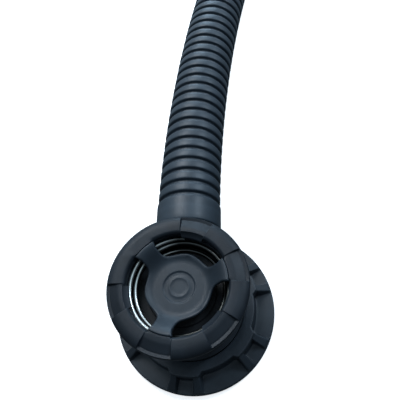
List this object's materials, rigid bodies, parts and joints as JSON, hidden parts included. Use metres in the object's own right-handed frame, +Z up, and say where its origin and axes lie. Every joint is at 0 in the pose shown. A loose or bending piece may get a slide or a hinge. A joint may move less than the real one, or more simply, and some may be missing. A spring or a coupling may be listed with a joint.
{
  "type": "corrugated hose with elbow exhaust valve",
  "caption": "Corrugated rubber hose on a right-angle elbow with a union nut and a spring-loaded exhaust valve under a slotted round cap.",
  "frame": {"origin": "centre of the union nut's underside, on the axis of the port and valve", "axes": "+Z up along the port and valve axis, +Y the way the hose leaves the elbow"},
  "size_m": [0.0988, 0.359, 0.0505],
  "materials": {
    "nut_plastic": "satin moulded blue-black plastic",
    "elbow_plastic": "satin moulded blue-black plastic",
    "cap_plastic": "satin moulded blue-black plastic",
    "cover_plastic": "satin moulded blue-black plastic",
    "valve_plastic": "matte black plastic",
    "hose_rubber": "satin blue-black rubber",
    "gasket_rubber": "matte black rubber",
    "seal_silicone": "translucent grey silicone",
    "spring_steel": "bright stainless wire",
    "cable_steel": "stranded stainless wire rope",
    "ferrule_metal": "tinned swaged ferrule"
  },
  "bodies": {
    "elbow": {"elbow_body": "elbow_plastic", "cap_o_ring": "gasket_rubber", "port_gasket": "gasket_rubber", "hose_link_0": "hose_rubber"},
    "nut": {"union_nut": "nut_plastic"},
    "cap": {"cap_ring": "cap_plastic", "slotted_cover": "cover_plastic"},
    "spring": {"valve_spring": "spring_steel"},
    "poppet": {"valve_plate": "valve_plastic", "valve_seal": "seal_silicone", "seal_retainer": "valve_plastic", "stem_pin": "spring_steel"},
    "pull_cable": {"cable_lower": "cable_steel", "lower_ferrule": "ferrule_metal"},
    "hose_1": {"hose_link_1": "hose_rubber", "cable_link_1": "cable_steel"},
    "hose_2": {"hose_link_2": "hose_rubber", "cable_link_2": "cable_steel"},
    "hose_3": {"hose_link_3": "hose_rubber", "cable_link_3": "cable_steel"},
    "hose_4": {"hose_link_4": "hose_rubber", "cable_link_4": "cable_steel"},
    "hose_5": {"hose_link_5": "hose_rubber", "cable_link_5": "cable_steel"},
    "hose_6": {"hose_link_6": "hose_rubber", "cable_link_6": "cable_steel"},
    "hose_7": {"hose_link_7": "hose_rubber", "cable_link_7": "cable_steel"},
    "hose_8": {"hose_link_8": "hose_rubber"},
    "cable_end": {"cable_upper": "cable_steel", "upper_ferrule": "ferrule_metal"}
  },
  "joints": [
    {"name": "nut_spin", "type": "hinge", "parent": "elbow", "child": "nut", "pos_m": [0, 0, 0], "axis": [0, 0, 1], "continuous": true},
    {"name": "cap_turn", "type": "hinge", "parent": "elbow", "child": "cap", "pos_m": [0, 0, 0.044], "axis": [0, 0, 1], "range_deg": [0, 40]},
    {"name": "valve_lift", "type": "slide", "parent": "elbow", "child": "spring", "axis": [0, 0, 1], "range_m": [0, 0.002], "stiffness_N_per_m": 900, "springref_m": -0.003, "deforming": ["valve_spring"]},
    {"name": "valve_tilt", "type": "hinge", "parent": "spring", "child": "poppet", "pos_m": [0, -0.017, 0.0324], "axis": [1, 0, 0], "range_deg": [0, 6], "stiffness_Nm_per_rad": 0.6, "springref_deg": -5.73},
    {"name": "cable_pull", "type": "slide", "parent": "elbow", "child": "pull_cable", "axis": [0, 0.994, 0.1095], "range_m": [0, 0.0016]},
    {"name": "hose_side_1", "type": "hinge", "parent": "elbow", "child": "hose_1", "pos_m": [0, 0.05595, 0.0255], "axis": [0.0023, 0.0634, 0.998], "range_deg": [-18, 18], "stiffness_Nm_per_rad": 0.35},
    {"name": "hose_up_1", "type": "hinge", "parent": "hose_1", "child": "hose_2", "pos_m": [0.00115, 0.08737, 0.0235], "axis": [0.9973, -0.0732, 0], "range_deg": [-18, 18], "stiffness_Nm_per_rad": 0.35},
    {"name": "hose_side_2", "type": "hinge", "parent": "hose_2", "child": "hose_3", "pos_m": [0.00345, 0.11872, 0.0215], "axis": [0.0052, 0.0473, 0.9989], "range_deg": [-18, 18], "stiffness_Nm_per_rad": 0.35},
    {"name": "hose_up_2", "type": "hinge", "parent": "hose_3", "child": "hose_4", "pos_m": [0.00691, 0.14999, 0.02], "axis": [0.9893, -0.1461, 0], "range_deg": [-18, 18], "stiffness_Nm_per_rad": 0.35},
    {"name": "hose_side_3", "type": "hinge", "parent": "hose_4", "child": "hose_5", "pos_m": [0.0115, 0.18112, 0.0185], "axis": [0.0087, 0.0468, 0.9989], "range_deg": [-18, 18], "stiffness_Nm_per_rad": 0.35},
    {"name": "hose_up_3", "type": "hinge", "parent": "hose_5", "child": "hose_6", "pos_m": [0.01724, 0.21206, 0.017], "axis": [0.9759, -0.2181, 0], "range_deg": [-18, 18], "stiffness_Nm_per_rad": 0.35},
    {"name": "hose_side_4", "type": "hinge", "parent": "hose_6", "child": "hose_7", "pos_m": [0.0241, 0.24276, 0.0155], "axis": [0, 0, 1], "range_deg": [-18, 18], "stiffness_Nm_per_rad": 0.35},
    {"name": "hose_up_4", "type": "hinge", "parent": "hose_7", "child": "hose_8", "pos_m": [0.03209, 0.27323, 0.0155], "axis": [0.9573, -0.289, 0], "range_deg": [-18, 18], "stiffness_Nm_per_rad": 0.35},
    {"name": "cable_end_pull", "type": "slide", "parent": "hose_8", "child": "cable_end", "axis": [0.289, 0.9573, 0], "range_m": [0, 0.0016]}
  ],
  "couplings": [
    {"joint": "cable_pull", "follows": "valve_tilt", "m_per_rad": 0.013942},
    {"joint": "cable_end_pull", "follows": "valve_tilt", "m_per_rad": 0.013942},
    {"joint": "hose_side_2", "follows": "hose_side_1", "ratio": 1},
    {"joint": "hose_up_2", "follows": "hose_up_1", "ratio": 1},
    {"joint": "hose_side_3", "follows": "hose_side_1", "ratio": 1},
    {"joint": "hose_up_3", "follows": "hose_up_1", "ratio": 1},
    {"joint": "hose_side_4", "follows": "hose_side_1", "ratio": 1},
    {"joint": "hose_up_4", "follows": "hose_up_1", "ratio": 1}
  ]
}
